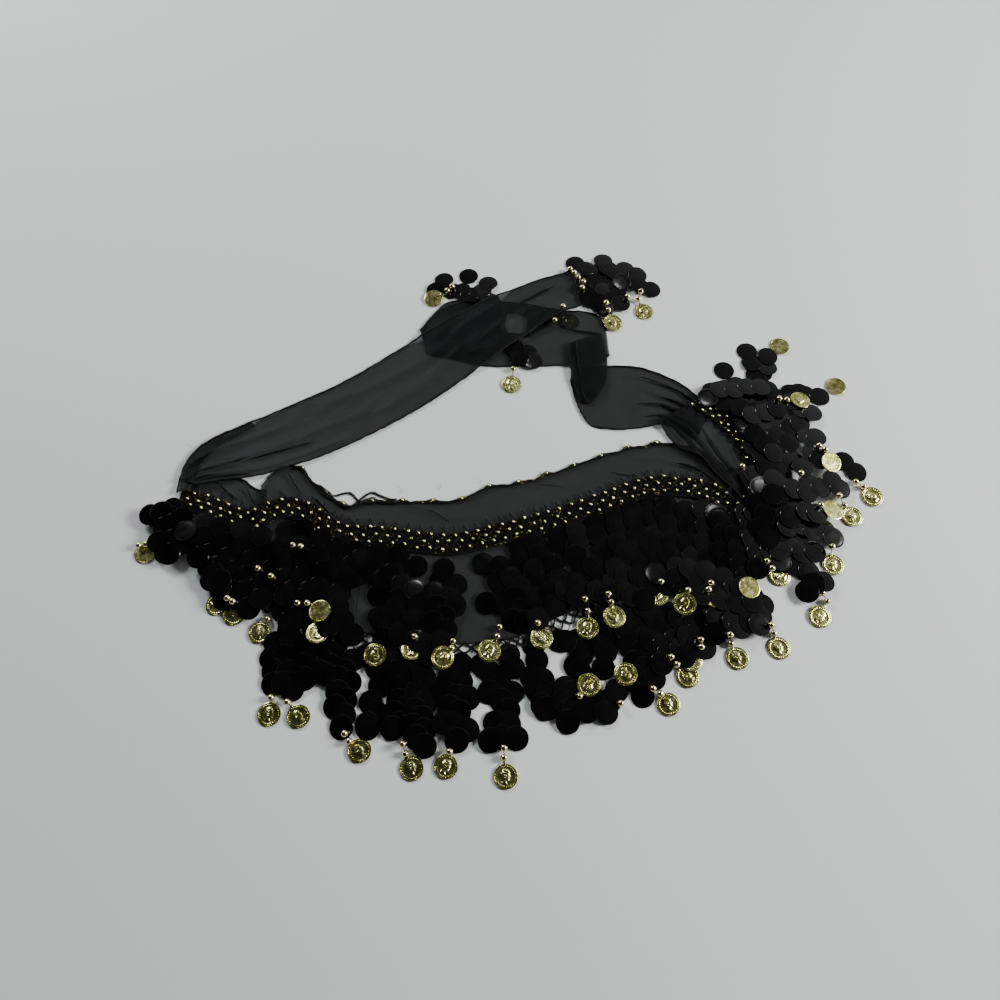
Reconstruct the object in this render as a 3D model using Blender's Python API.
"""Belly dance hip scarf, lying loosely folded on a flat surface.

A long scarf of thin black chiffon: a deep crescent panel in the middle, a narrow
tie at each end.  A crocheted band with gold beads runs along the panel, a
crocheted cord edges its top, a chain net edges its bottom, and two tiers of
strands of black paillettes with gold coins hang from the band and from the net.
Each tie ends in tassels of the same strands.

Lengths in the tables are millimetres in the plan of the surface the scarf lies
on: X to the right along the panel, Y away from the fringe, Z up from the surface.
"""
import math

import bmesh
import bpy

# ------------------------------------------------------------------ dimensions
MM = 0.001
CLOTH = 1.2            # thickness of a cloth wall
SEAM = 0.35            # clearance between neighbouring pieces
LAYER = CLOTH + 0.4    # rise from one layer of cloth to the next
BAND_THICK = 3.2       # crocheted band with its beads
CORD_THICK = 2.4       # crocheted cord along the top edge
NET_THICK = 1.6        # chain net along the bottom edge
STRAND_THICK = 3.2     # strands of paillettes lying on the surface
TIER_THICK = 4.2       # upper tier of strands lying on the panel
BAND_AT = 0.30         # the band's middle, as a share of the panel's depth
BAND_HALF = 0.075      # half of the band's width, as a share of the panel's depth
CENTRE = (2.46, -1.25)    # middle of the footprint in the plan of the tables

# ---------------------------------------------------------------------- tables
# Panel stations: the top edge, the band's middle and the bottom edge.
PANEL_LEFT = [
    # top_x top_y  band_x band_y  low_x low_y
    (-297,   3,   -303,  -12,   -310,  -38),
    (-284,  10,   -284,  -16,   -292,  -62),
    (-264,   9,   -266,  -23,   -266,  -84),
    (-247,  -3,   -245,  -33,   -244,  -97),
    (-229,  -6,   -230,  -36,   -236,  -99),
]
PANEL_MAIN = [
    (-226,  -4,   -227,  -35,   -233, -100),
    (-213,  16,   -218,  -26,   -214, -108),
    (-196,  16,   -203,  -22,   -192, -116),
    (-182,   1,   -180,  -30,   -167, -126),
    (-165, -13,   -165,  -42,   -148, -133),
    (-147, -23,   -148,  -50,   -130, -139),
    (-128, -20,   -118,  -52,   -113, -141),
    ( -84, -20,    -79,  -58,    -71, -147),
    ( -48, -19,    -48,  -60,    -43, -150),
    ( -21,  -7,    -18,  -53,     -2, -146),
    (  10,  -2,     11,  -46,     27, -133),
    (  46,   9,     44,  -37,     58, -120),
    (  90,  25,     88,  -21,     92, -107),
    ( 122,  33,    124,   -8,    123, -101),
    ( 150,  34,    155,   -8,    154,  -97),
    ( 169,  19,    178,  -13,    185,  -91),
    ( 187,   2,    194,  -26,    204,  -82),
    ( 199, -22,    203,  -42,    212,  -72),
]
# The panel's right end, pinched into pleats where it turns back on itself.
PANEL_RIGHT = [
    # out_x out_y   mid_x mid_y    in_x  in_y
    ( 186,  83,    174,   70,    156,   55),
    ( 203,  70,    190,   58,    163,   41),
    ( 220,  50,    206,   41,    179,   26),
    ( 230,  23,    219,   16,    197,    4),
    ( 231,  -4,    223,   -9,    208,  -19),
    ( 226, -26,    221,  -28,    212,  -31),
]
# Ties: one long edge, the other long edge, and the height of the cloth's underside.
TIE_LEFT_END = [
    # out_x out_y   in_x  in_y  under
    (-317,  -9,   -305,   -5,   0.0),
    (-307,   0,   -298,    7,   0.0),
    (-307,   9,   -290,   14,   0.0),
    (-306,  17,   -284,   20,   0.0),
    (-299,  32,   -276,   28,   0.0),
    (-283,  47,   -262,   38,   0.0),
]
TIE_LEFT = [
    (-303,   4,   -291,    0,   1.6),
    (-303,  17,   -270,    4,   1.6),
    (-297,  31,   -241,    8,   1.6),
    (-282,  46,   -219,   13,   1.6),
    (-242,  67,   -187,   24,   1.6),
    (-202,  87,   -148,   42,   0.4),
    (-160, 109,   -107,   65,   0.0),
    (-111, 143,    -67,   92,   2.4),
    ( -68, 173,    -30,  122,   3.4),
    ( -34, 194,     -8,  140,   3.4),
    (  -7, 210,      7,  151,   3.4),
    (  31, 228,     49,  182,   3.4),
    (  56, 236,     74,  195,   3.0),
    (  68, 241,     86,  200,   1.4),
]
TIE_RIGHT_ROOT = [
    ( 184,  84,    154,   55,   0.0),
    ( 167, 101,    141,   56,   0.0),
    ( 140, 116,    124,   53,   0.0),
    ( 120, 121,     98,   52,   0.0),
    ( 101, 122,     77,   58,   0.0),
    (  81, 122,     66,   80,   0.0),
    (  62, 121,     61,  108,   0.0),
]
TIE_RIGHT_TWIST = [
    (  75,  80,     79,   80,   1.6),
    (  68,  86,     89,   89,   1.6),
    (  64, 102,     96,  104,   1.6),
    (  61, 124,     99,  123,   1.6),
    (  60, 140,     98,  142,   1.6),
    (  62, 149,     95,  160,   1.6),
]
TIE_RIGHT_RUN = [
    ( 100, 166,    101,  136,   0.0),
    (  91, 183,     91,  125,   0.0),
    (  74, 188,     71,  124,   0.0),
    (  49, 189,     46,  124,   0.0),
    (  24, 197,     22,  124,   0.0),
    (   0, 202,     -1,  124,   0.0),
    ( -27, 204,    -26,  126,   0.0),
    ( -58, 203,    -57,  135,   0.0),
    ( -74, 188,    -76,  139,   0.0),
    ( -88, 168,    -82,  145,   0.0),
]
TIE_RIGHT_TIP = [
    ( -87, 167,    -81,  146,   1.6),
    ( -70, 190,    -58,  141,   1.6),
    ( -38, 203,    -28,  144,   1.6),
    (  -7, 201,     -3,  150,   1.6),
    (  17, 199,     16,  153,   1.6),
    (  43, 192,     28,  161,   1.6),
    (  58, 188,     51,  174,   1.6),
]
# The panel's hidden layers where it turns back, heaped under the fringe.
TURN_HEAP = [
    # x     y   width  height  under
    ( 199,  84,   12,   2.4,   0.0),
    ( 219,  71,   22,   5.0,   0.0),
    ( 236,  50,   24,   6.5,   0.0),
    ( 245,  22,   26,   7.0,   0.0),
    ( 246,  -8,   26,   7.0,   0.0),
    ( 239, -36,   22,   5.5,   0.0),
    ( 227, -58,   16,   3.2,   0.0),
]
# Strands of the lower tier: middle of the strand, its width, height and underside.
STRANDS = {
    # name: rows of (x, y, width, height, under), from the net to the coin
    "fringe_lower_01": [(-190,-137, 30, 3.2, 0), (-192,-161, 32, 3.2, 0), (-195,-186, 27, 3.2, 0), (-200,-207, 19, 2.0, 0)],
    "fringe_lower_02": [(-158,-148, 24, 3.2, 0), (-158,-163, 26, 3.2, 0), (-168,-184, 19, 3.2, 0), (-176,-208, 19, 2.0, 0)],
    "fringe_lower_03": [(-131,-156, 18, 3.2, 0), (-144,-186, 17, 3.2, 0), (-144,-208, 17, 3.2, 0), (-127,-237, 18, 2.0, 0)],
    "fringe_lower_04": [(-108,-158, 17, 3.2, 0), (-115,-187, 19, 3.2, 0), (-118,-212, 18, 3.2, 0)],
    "fringe_lower_05": [( -85,-162, 26, 3.2, 0), ( -85,-195, 32, 3.2, 0), ( -86,-215, 38, 3.2, 0), ( -83,-249, 20, 2.0, 0)],
    "fringe_lower_06": [( -50,-166, 28, 3.2, 0), ( -49,-188, 30, 3.2, 0), ( -48,-215, 33, 3.2, 0), ( -55,-248, 20, 2.0, 0)],
    "fringe_lower_07": [( -10,-166, 32, 3.2, 0), ( -10,-188, 35, 3.2, 0), ( -11,-224, 36, 3.2, 0), (  -9,-255, 20, 2.0, 0)],
    "fringe_lower_08": [(  23,-158, 22, 3.2, 0), (  24,-189, 22, 3.2, 0), (  22,-214, 21, 3.2, 0)],
    "fringe_lower_09": [(  48,-150, 23, 3.2, 0), (  47,-189, 21, 3.2, 0), (  44,-224, 20, 3.2, 0)],
    "fringe_lower_10": [(  74,-140, 23, 3.2, 0), (  70,-182, 21, 3.2, 0), (  69,-214, 22, 3.2, 0)],
    "fringe_lower_11": [(  99,-134, 22, 3.2, 0), (  96,-182, 24, 3.2, 0), ( 100,-203, 20, 3.2, 0)],
    "fringe_lower_12": [( 121,-132, 18, 3.2, 0), ( 122,-174, 20, 3.2, 0), ( 124,-203, 20, 2.0, 0)],
    "fringe_lower_13": [( 147,-130, 28, 3.2, 0), ( 148,-162, 25, 3.2, 0), ( 146,-184, 20, 2.0, 0)],
    "fringe_lower_14": [( 177,-122, 24, 3.2, 0), ( 177,-145, 24, 3.2, 0), ( 187,-168, 20, 2.0, 0)],
    "fringe_lower_15": [( 207,-104, 26, 3.2, 0), ( 207,-138, 26, 3.2, 0), ( 222,-160, 20, 2.0, 0)],
}
STRANDS_SIDE = {
    # strands that fan out round the turned-back right end
    "fringe_right_01": [( 240, -86, 18, 3.2, 0), ( 254,-102, 20, 3.2, 0), ( 260,-132, 20, 2.0, 0)],
    "fringe_right_02": [( 249, -68, 16, 3.2, 0), ( 268, -77, 20, 3.2, 0), ( 284, -87, 20, 2.0, 0)],
    "fringe_right_03": [( 256, -50, 16, 3.2, 0), ( 275, -57, 16, 3.2, 0), ( 297, -64, 16, 3.2, 0)],
    "fringe_right_04": [( 262, -34, 14, 3.2, 0), ( 290, -37, 20, 3.2, 0), ( 312, -41, 20, 2.0, 0)],
    "fringe_right_05": [( 265, -13, 22, 3.2, 0), ( 299, -13, 26, 3.2, 0), ( 330, -19, 20, 2.0, 0)],
    "fringe_right_06": [( 265,  16, 24, 3.2, 0), ( 292,  13, 24, 3.2, 0), ( 333,  13, 20, 3.2, 0)],
    "fringe_right_07": [( 258,  48, 20, 3.2, 0), ( 284,  52, 26, 3.2, 0), ( 304,  38, 22, 3.2, 0)],
    "fringe_right_08": [( 247,  73, 22, 3.2, 0), ( 284,  82, 26, 3.2, 0), ( 321,  96, 20, 2.0, 0)],
    "fringe_right_09": [( 228,  91, 22, 3.2, 0), ( 251, 114, 32, 3.2, 0), ( 272, 144, 20, 2.0, 0)],
    "fringe_right_10": [( 204,  97, 18, 3.2, 0), ( 213, 118, 20, 2.0, 0)],
    # strands that fall from the gathered left end
    "fringe_left_01":  [(-314, -21, 16, 3.2, 0), (-324, -33, 20, 2.0, 0)],
    "fringe_left_02":  [(-317, -50, 20, 3.2, 0), (-328, -63, 19, 2.0, 0)],
    "fringe_left_03":  [(-301, -72, 22, 3.2, 0), (-310, -78, 14, 3.2, 0)],
    "fringe_left_04":  [(-264, -97, 19, 3.2, 0), (-259,-113, 18, 2.0, 0)],
    "fringe_left_05":  [(-239,-106, 18, 3.2, 0), (-239,-124, 19, 2.0, 0)],
    "fringe_left_06":  [(-217,-116, 17, 3.2, 0), (-217,-138, 18, 2.0, 0)],
    # tassels on the tips of the ties
    "tassel_left_1":   [(  92, 219, 22, 4.2, 0), ( 113, 207, 24, 4.2, 0), ( 112, 190, 20, 3.2, 0), ( 112, 172, 19, 2.0, 1.6)],
    "tassel_left_2":   [(  86, 248, 24, 4.2, 0), ( 117, 246, 30, 4.2, 0), ( 143, 228, 26, 3.2, 0), ( 140, 187, 20, 2.0, 0)],
    "tassel_right_1":  [( -17, 227, 18, 3.2, 0), ( -32, 234, 26, 3.2, 0), ( -62, 230, 28, 3.2, 0), ( -77, 209, 20, 2.0, 0)],
    "tassel_right_2":  [(  27, 143, 20, 3.2, 1.6), ( 16, 130, 28, 3.2, 1.6), (  6, 113, 22, 2.6, 1.6), (   3, 101, 20, 2.0, 0)],
}
# Creases of the cloth: soft ridges running along a piece.
CREASES = {
    # name: rows of (place across 0..1, half width, height, start along, end along)
    "tie_left":        [(0.22, 0.10, 1.6, 0.00, 0.45), (0.55, 0.08, 1.2, 0.02, 0.40), (0.80, 0.08, 1.0, 0.00, 0.30), (0.40, 0.12, 1.0, 0.35, 0.80)],
    "tie_right_root":  [(0.62, 0.10, 1.8, 0.00, 0.55), (0.80, 0.08, 1.6, 0.00, 0.45), (0.40, 0.08, 1.4, 0.00, 0.40)],
    "panel_right":     [(0.50, 0.09, 2.4, 0.05, 1.00), (0.70, 0.08, 2.0, 0.00, 0.95), (0.88, 0.07, 1.6, 0.10, 0.90)],
    "panel_main":      [(0.08, 0.07, 0.9, 0.10, 0.42), (0.16, 0.07, 0.8, 0.60, 0.98)],
}

# ------------------------------------------------------------------- materials
FINISHES = {
    # name: (colour, roughness, metallic)
    "chiffon":  ((0.020, 0.022, 0.023, 1.0), 0.62, 0.0),
    "crochet":  ((0.030, 0.026, 0.014, 1.0), 0.70, 0.1),
    "fringe":   ((0.012, 0.012, 0.013, 1.0), 0.22, 0.0),
}


def material(finish):
    """One Principled material per finish, made once."""
    if finish in bpy.data.materials:
        return bpy.data.materials[finish]
    colour, rough, metal = FINISHES[finish]
    mat = bpy.data.materials.new(finish)
    mat.use_nodes = True
    shader = mat.node_tree.nodes["Principled BSDF"]
    shader.inputs["Base Color"].default_value = colour
    shader.inputs["Roughness"].default_value = rough
    shader.inputs["Metallic"].default_value = metal
    mat.diffuse_color = colour
    return mat


# --------------------------------------------------------------------- helpers
def clear():
    for obj in list(bpy.data.objects):
        bpy.data.objects.remove(obj, do_unlink=True)


def smooth_row(rows, t):
    """The table's row at t = 0..1, on a smooth curve through its rows."""
    n = len(rows) - 1
    s = min(max(t, 0.0), 1.0) * n
    i = min(int(s), n - 1)
    f = s - i
    a = rows[max(i - 1, 0)]
    b = rows[i]
    c = rows[i + 1]
    d = rows[min(i + 2, n)]
    out = []
    for p0, p1, p2, p3 in zip(a, b, c, d):
        m1 = (p2 - p0) / 2.0
        m2 = (p3 - p1) / 2.0
        out.append((2 * f ** 3 - 3 * f ** 2 + 1) * p1 + (f ** 3 - 2 * f ** 2 + f) * m1
                   + (-2 * f ** 3 + 3 * f ** 2) * p2 + (f ** 3 - f ** 2) * m2)
    return out


def bump(x):
    """A soft hump: 1 at 0, and 0 from -1 and +1 outwards."""
    return 0.5 + 0.5 * math.cos(math.pi * x) if abs(x) < 1.0 else 0.0


def crease_height(name, u, v):
    h = 0.0
    for across, half, height, start, end in CREASES.get(name, ()):
        mid, reach = (start + end) / 2.0, (end - start) / 2.0
        h = max(h, height * bump((v - across) / half) * min(1.0, 1.6 * bump((u - mid) / reach)))
    return h


def make(name, finish, under, over):
    """A closed solid between two equal grids of points, the lower and the upper."""
    nu, nv = len(under), len(under[0])
    bm = bmesh.new()
    lo = [[bm.verts.new((p[0] * MM, p[1] * MM, p[2] * MM)) for p in row] for row in under]
    hi = [[bm.verts.new((p[0] * MM, p[1] * MM, p[2] * MM)) for p in row] for row in over]
    for i in range(nu - 1):
        for j in range(nv - 1):
            a, b, c, d = lo[i][j], lo[i + 1][j], lo[i + 1][j + 1], lo[i][j + 1]
            bm.faces.new((a, b, c))
            bm.faces.new((a, c, d))
            a, b, c, d = hi[i][j], hi[i + 1][j], hi[i + 1][j + 1], hi[i][j + 1]
            bm.faces.new((a, c, b))
            bm.faces.new((a, d, c))
    rim = [(i, 0) for i in range(nu)] + [(nu - 1, j) for j in range(1, nv)]
    rim += [(i, nv - 1) for i in range(nu - 2, -1, -1)] + [(0, j) for j in range(nv - 2, 0, -1)]
    for k in range(len(rim)):
        (i, j), (m, n) = rim[k], rim[(k + 1) % len(rim)]
        bm.faces.new((lo[i][j], lo[m][n], hi[m][n]))
        bm.faces.new((lo[i][j], hi[m][n], hi[i][j]))
    bmesh.ops.recalc_face_normals(bm, faces=bm.faces[:])
    mesh = bpy.data.meshes.new(name)
    bm.to_mesh(mesh)
    bm.free()
    mesh.materials.append(material(finish))
    obj = bpy.data.objects.new(name, mesh)
    bpy.context.scene.collection.objects.link(obj)
    return obj


def placed(x, y, z):
    return (x - CENTRE[0], y - CENTRE[1], z)


# ---------------------------------------------------------------- cloth pieces
def tie(name, rows, along, across):
    """A stretch of a tie: a wall of cloth between its two long edges."""
    under, over = [], []
    for i in range(along + 1):
        u = i / along
        ax, ay, bx, by, z = smooth_row(rows, u)
        lo, hi = [], []
        for j in range(across + 1):
            v = j / across
            base = max(0.0, z) + crease_height(name, u, v)
            x, y = ax + (bx - ax) * v, ay + (by - ay) * v
            lo.append(placed(x, y, base))
            hi.append(placed(x, y, base + CLOTH))
        under.append(lo)
        over.append(hi)
    return make(name, "chiffon", under, over)


def panel_point(name, rows, u, v, lift=0.0):
    """A point of the panel's cloth: along u, across v from the top to the bottom edge."""
    tx, ty, bx, by, lx, ly = smooth_row(rows, u)
    if v < BAND_AT:
        f = v / BAND_AT
        x, y = tx + (bx - tx) * f, ty + (by - ty) * f
    else:
        f = (v - BAND_AT) / (1.0 - BAND_AT)
        x, y = bx + (lx - bx) * f, by + (ly - by) * f
    z = crease_height(name, u, v) if 0.0 <= v <= 1.0 else 0.0
    return placed(x, y, z + lift)


def on_panel(node, finish, panel, rows, u0, u1, vs, lows, highs, along):
    """A piece made from the panel's own points, moved up: vs across, with its underside
    and upper side above the surface given for each place across."""
    under, over = [], []
    for i in range(along + 1):
        u = u0 + (u1 - u0) * i / along
        lo, hi = [], []
        for v, low, high in zip(vs, lows, highs):
            lo.append(panel_point(panel, rows, u, v, low))
            hi.append(panel_point(panel, rows, u, v, high))
        under.append(lo)
        over.append(hi)
    return make(node, finish, under, over)


def panel(name, rows, along, v_end):
    cuts = [0.0, 0.05, 0.10, 0.15, 0.20, BAND_AT, 0.5, 0.7, v_end]
    return on_panel(name, "chiffon", name, rows, 0.0, 1.0, cuts,
                    [0.0] * len(cuts), [CLOTH] * len(cuts), along)


# ------------------------------------------------------------- fringe and heap
def strand(name, rows, along, finish="fringe"):
    """A low rounded solid, flat underneath, along the middle line of a strand,
    with a round end where its coin lies."""
    under, over = [], []
    sections = [(i / along, 0.0, 1.0) for i in range(along + 1)]
    sections += [(1.0, 0.30, 0.80), (1.0, 0.47, 0.36)]
    for t, past, share in sections:
        x, y, w, h, z = smooth_row(rows, t)
        xa, ya = smooth_row(rows, max(0.0, t - 0.02))[:2]
        xb, yb = smooth_row(rows, min(1.0, t + 0.02))[:2]
        length = math.hypot(xb - xa, yb - ya)
        nx, ny = -(yb - ya) / length, (xb - xa) / length
        x, y = x + ny * w * past, y - nx * w * past
        w *= share
        lo, hi = [], []
        for across in (-0.5, -0.34, 0.34, 0.5):
            top = h if abs(across) < 0.4 else 0.45 * h
            px, py = x + nx * w * across, y + ny * w * across
            lo.append(placed(px, py, max(0.0, z)))
            hi.append(placed(px, py, max(0.0, z) + top))
        under.append(lo)
        over.append(hi)
    return make(name, finish, under, over)


def build():
    clear()
    on = CLOTH + SEAM

    # cloth
    panel("panel_left", PANEL_LEFT, 12, 0.97)
    panel("panel_main", PANEL_MAIN, 34, 0.97)
    on_panel("panel_right", "chiffon", "panel_right", PANEL_RIGHT, 0.0, 1.0,
             [0.0, 0.15, 0.30, 0.41, 0.50, 0.59, 0.70, 0.80, 0.88, 1.0], [0.0] * 10, [CLOTH] * 10, 15)
    tie("tie_left_end", TIE_LEFT_END, 10, 3)
    tie("tie_left", TIE_LEFT, 28, 10)
    tie("tie_right_root", TIE_RIGHT_ROOT, 14, 9)
    tie("tie_right_twist", TIE_RIGHT_TWIST, 10, 3)
    tie("tie_right_run", TIE_RIGHT_RUN, 20, 4)
    tie("tie_right_tip", TIE_RIGHT_TIP, 14, 3)
    strand("panel_turn", TURN_HEAP, 12, "chiffon")

    # the crocheted band, laid on the panel
    lo, hi = BAND_AT - BAND_HALF, BAND_AT + BAND_HALF
    cuts = [lo, BAND_AT, hi]
    low, high = [on] * 3, [on + BAND_THICK] * 3
    on_panel("band_left", "crochet", "panel_left", PANEL_LEFT, 0.02, 0.995, cuts, low, high, 10)
    on_panel("band_main", "crochet", "panel_main", PANEL_MAIN, 0.005, 0.99, cuts, low, high, 34)
    on_panel("band_right", "crochet", "panel_right", PANEL_RIGHT, 0.02, 0.98,
             [0.02, 0.15, 0.30], low, high, 15)

    # cord along the top edge, lying on the margin of the cloth
    on_panel("cord_top", "crochet", "panel_main", PANEL_MAIN, 0.12, 0.84,
             [0.004, 0.022], [on] * 2, [on + CORD_THICK] * 2, 25)
    # chain net beyond the bottom edge
    on_panel("net_low", "crochet", "panel_main", PANEL_MAIN, 0.02, 0.99,
             [0.975, 1.045], [0.0] * 2, [NET_THICK] * 2, 30)

    # upper tier of strands, on the cloth below the band and out over the net
    tier = [hi + 0.02, 0.60, 0.80, 0.95, 1.10]
    under = [on, on, on, STRAND_THICK + SEAM, STRAND_THICK + SEAM]
    over = [on + 2.0, on + TIER_THICK, on + TIER_THICK, STRAND_THICK + SEAM + TIER_THICK * 0.9,
            STRAND_THICK + SEAM + TIER_THICK * 0.5]
    on_panel("fringe_upper_left", "fringe", "panel_left", PANEL_LEFT, 0.02, 0.995, tier, under, over, 8)
    cuts = [0.005, 0.20, 0.40, 0.60, 0.80, 0.99]
    for k in range(5):
        on_panel("fringe_upper_%d" % (k + 1), "fringe", "panel_main", PANEL_MAIN,
                 cuts[k], cuts[k + 1] - 0.0012, tier, under, over, 6)

    # strands on the surface
    for name, rows in STRANDS.items():
        strand(name, rows, 5)
    for name, rows in STRANDS_SIDE.items():
        strand(name, rows, 4 if len(rows) > 2 else 2)


build()
